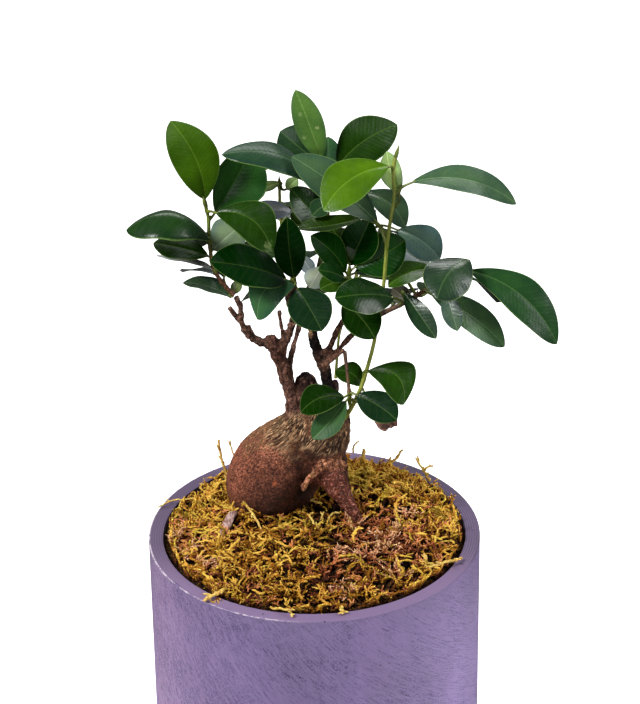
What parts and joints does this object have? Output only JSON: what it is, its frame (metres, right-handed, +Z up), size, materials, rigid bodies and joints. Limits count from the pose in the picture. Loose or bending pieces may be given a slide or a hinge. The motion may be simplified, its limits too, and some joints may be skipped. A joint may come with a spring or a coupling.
{
  "type": "bonsai tree",
  "caption": "Small-leaved fig bonsai with a swollen bulb root, forked thin trunks and glossy oval leaves, standing in moss in a straight round cast pot.",
  "frame": {"origin": "middle of the pot's flat foot, which the object stands on", "axes": "+Z up along the pot's axis and the object's longest extent, -Y to the front of the tree, +X to its right"},
  "size_m": [0.1865, 0.1573, 0.3532],
  "materials": {
    "cast_pot": "matte cast, lilac, finely scratched",
    "soil": "damp dark potting soil",
    "moss": "dry golden olive moss strands",
    "bark": "grey brown fissured bark over a reddish root",
    "leaf": "glossy dark green leaf",
    "young_leaf": "satin yellow green young leaf and stem",
    "dry_leaf": "withered brown leaf"
  },
  "bodies": {
    "root": {"pot": "cast_pot", "soil": "soil", "moss": "moss", "trunk": "bark", "shoot_left": "leaf", "shoot_middle": "leaf", "shoot_tall": "young_leaf", "shoot_centre": "leaf", "shoot_right": "leaf", "shoot_top": "leaf", "shoot_low": "leaf", "shoot_back_right": "leaf", "shoot_back_left": "leaf"}
  },
  "joints": []
}
